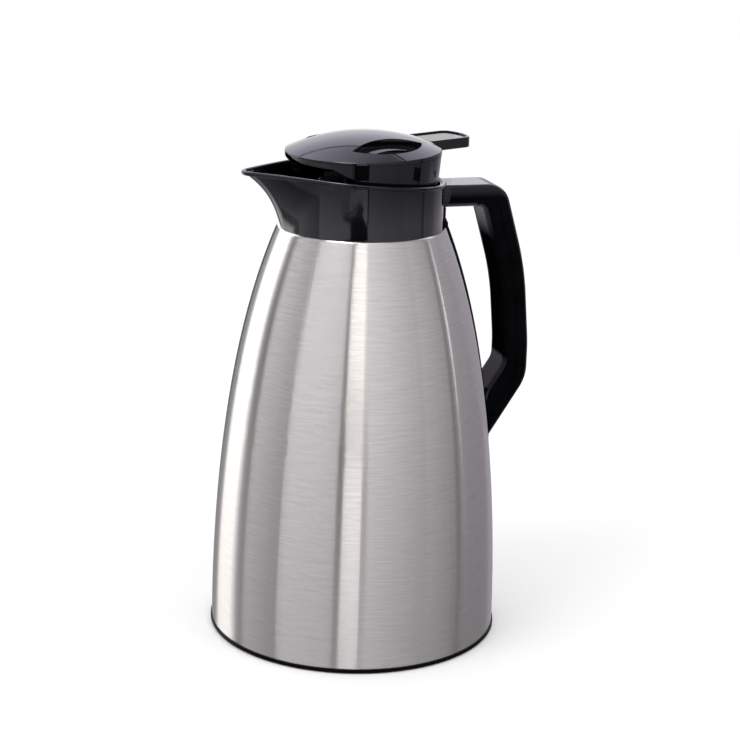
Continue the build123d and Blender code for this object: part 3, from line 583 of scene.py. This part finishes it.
flagCloth = {
    "colour": (1, 1, 1),
    "weave": ((900.0, 900.0, 900.0), 2.0, 0.5),
    "share": (0.95, 1.0),    # of its brightness over the weave
}


def flagFinish(name, bright):
    finish = Finish(name)
    weave = finish.noise(*flagCloth["weave"])
    level = bright * finish.spread(weave, *flagCloth["share"])
    return finish.close(finish.glow(flagCloth["colour"], level))


def makeFlags():
    for name, (bright, corners) in flags.items():
        outline = [turnToView @ Vector((side, -ahead, up)) for side, ahead, up in corners]
        placeFlag(name, [outline], flagFinish(name, bright))


# thin screens close to the handle, seen in reflections only. Towards the handle they are dark but
# for a few glows: painted shade in the handle's reflections, with painted highlights at the glows.
# Towards the steel they are pale: a painted reflection in the steel where the handle would be seen.
# A glow is two heights over which it comes up, the height where it ends, and its brightness. All
# places are in metres.
screen = {
    "half": 0.014,
    "pale": (0.13, 0.23, 0.34, 0.42),    # two heights and the brightness there
    "tint": (0.97, 0.90, 1.0),
    "glowFade": 0.004,
    "gap": [(0.0435, 0.2195), (0.0595, 0.2195), (0.064, 0.2065), (0.0676, 0.1945), (0.0706, 0.182),
            (0.0723, 0.1693), (0.0738, 0.153), (0.0742, 0.141), (0.0732, 0.1365), (0.066, 0.1255)],
    "outer": [(0.0695, 0.097), (0.094, 0.118), (0.10, 0.137), (0.10, 0.150), (0.097, 0.175),
              (0.092, 0.204), (0.086, 0.226), (0.078, 0.236), (0.0435, 0.236)],
    "gapGlows": [(0.202, 0.216, 0.24, 0.5), (0.10, 0.132, 0.142, 0.35)],
    "sideGlows": [(0.2265, 0.231, 0.26, 0.45)],
}


def screenFinish(name, glows):
    finish = Finish(name)
    height = finish.axes(finish.where())[2]
    dark = 0.0
    for start, full, end, bright in glows:
        dark = dark + bright * finish.between(height, start, full, end - screen["glowFade"], end)
    pale = finish.remap(height, *screen["pale"])
    back = finish.node("ShaderNodeNewGeometry", output="Backfacing")
    return finish.close(finish.glow(screen["tint"], pale + back * (dark - pale)))


def makeScreens():
    half, gap = screen["half"], screen["gap"]
    strips = []
    for (x0, z0), (x1, z1) in zip(gap, gap[1:]):
        strips.append([(x0, half, z0), (x1, half, z1), (x1, -half, z1), (x0, -half, z0)])
    placeFlag("gapScreen", strips, screenFinish("gapScreen", screen["gapGlows"]))
    outline = [(x, -half, z) for x, z in gap + screen["outer"]]
    placeFlag("sideScreen", [outline], screenFinish("sideScreen", screen["sideGlows"]))


floor = {
    "radius": 14.0,
    "sides": 96,
    "colour": (0.93, 0.93, 0.93, 1),
    "cloudy": (0.95, 0.95, 0.95, 1),
    "cloud": ((3.0, 3.0, 3.0), 2.0, 0.5),
    "roughness": 0.9,
    "polish": 0.1,
    "white": (1, 1, 1, 1),
    "whiteFrom": (0.4, 1.6),    # metres out over which the camera sees it fade to plain white
}


def floorFinish():
    finish = Finish("floorPaper")
    paper = finish.node("ShaderNodeBsdfPrincipled", None, {
        "Base Color": finish.mix(finish.noise(*floor["cloud"]), floor["colour"], floor["cloudy"]),
        "Roughness": floor["roughness"],
        "Specular IOR Level": floor["polish"],
    })
    x, y, z = finish.axes(finish.where())
    away = finish.smooth(finish.outward(x, y), *floor["whiteFrom"])
    seen = finish.node("ShaderNodeLightPath", output="Is Camera Ray")
    white = finish.node("ShaderNodeEmission", None, {"Color": floor["white"], "Strength": 1.0})
    return finish.close(finish.node("ShaderNodeMixShader", None, {0: seen * away, 1: paper, 2: white}))


def makeFloor():
    shape = bmesh.new()
    bmesh.ops.create_circle(shape, cap_ends=True, segments=floor["sides"], radius=floor["radius"])
    stagePiece("floor", shape, floorFinish()).visible_glossy = False


lights = {
    "world": 0.97,
    "size": 1.2,
    "aim": (0, 0, 0.12),
    # degrees from the camera's side, height and distance in metres, and power in watts
    "lamps": {
        "keyLight": (-50, 1.6, 1.6, 12.0),
        "fillLight": (60, 1.4, 1.8, 8.0),
    },
}


def makeWorld():
    world = bpy.data.worlds.new("studio")
    bpy.context.scene.world = world
    world.use_nodes = True
    background = world.node_tree.nodes["Background"]
    background.inputs["Color"].default_value = (1, 1, 1, 1)
    background.inputs["Strength"].default_value = lights["world"]


def softLight(name, turn, height, distance, power):
    data = bpy.data.lights.new(name, "AREA")
    data.shape = "SQUARE"
    data.size = lights["size"]
    data.energy = power
    light = bpy.data.objects.new(name, data)
    bpy.context.scene.collection.objects.link(light)
    angle = cameraSide + math.radians(turn)
    place = Vector((math.cos(angle) * distance, math.sin(angle) * distance, height))
    light.location = place
    light.rotation_euler = (Vector(lights["aim"]) - place).to_track_quat("-Z", "Y").to_euler()
    light.visible_glossy = False


makeFloor()
makeTent()
makeFlags()
makeScreens()
makeWorld()
for name, (turn, height, distance, power) in lights["lamps"].items():
    softLight(name, turn, height, distance, power)

bpy.context.scene.view_settings.view_transform = "Standard"
print("studio set")
